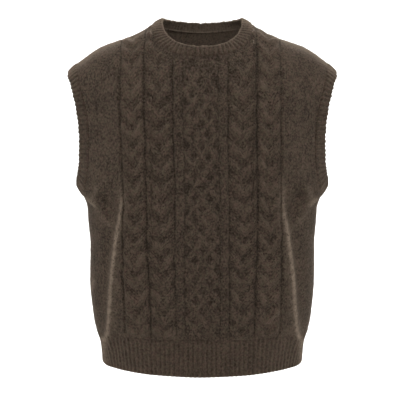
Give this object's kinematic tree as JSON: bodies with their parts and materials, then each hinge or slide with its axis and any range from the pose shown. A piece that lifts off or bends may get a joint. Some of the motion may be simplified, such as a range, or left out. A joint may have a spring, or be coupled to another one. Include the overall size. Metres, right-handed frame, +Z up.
{
  "type": "knitted sweater vest",
  "caption": "Hollow cable-knit vest, filled out as it is worn, with a round ribbed neckband, ribbed armbands and a ribbed hem.",
  "frame": {"origin": "midway between the two points where the shoulders meet the neckband, where the wearer's neck and shoulders carry the vest", "axes": "+Z up, +X to the wearer's left, the front faces -Y and the back faces +Y"},
  "size_m": [0.4918, 0.2312, 0.6443],
  "materials": {
    "wool_front": "matt heather wool, cabled",
    "wool_back": "matt heather wool, plain knit",
    "wool_rib": "matt heather wool, ribbed"
  },
  "bodies": {
    "root": {"front_panel": "wool_front", "back_panel": "wool_back", "hem_front": "wool_rib", "hem_back": "wool_rib", "neckband": "wool_rib", "armband_right": "wool_rib", "armband_left": "wool_rib"}
  },
  "joints": []
}
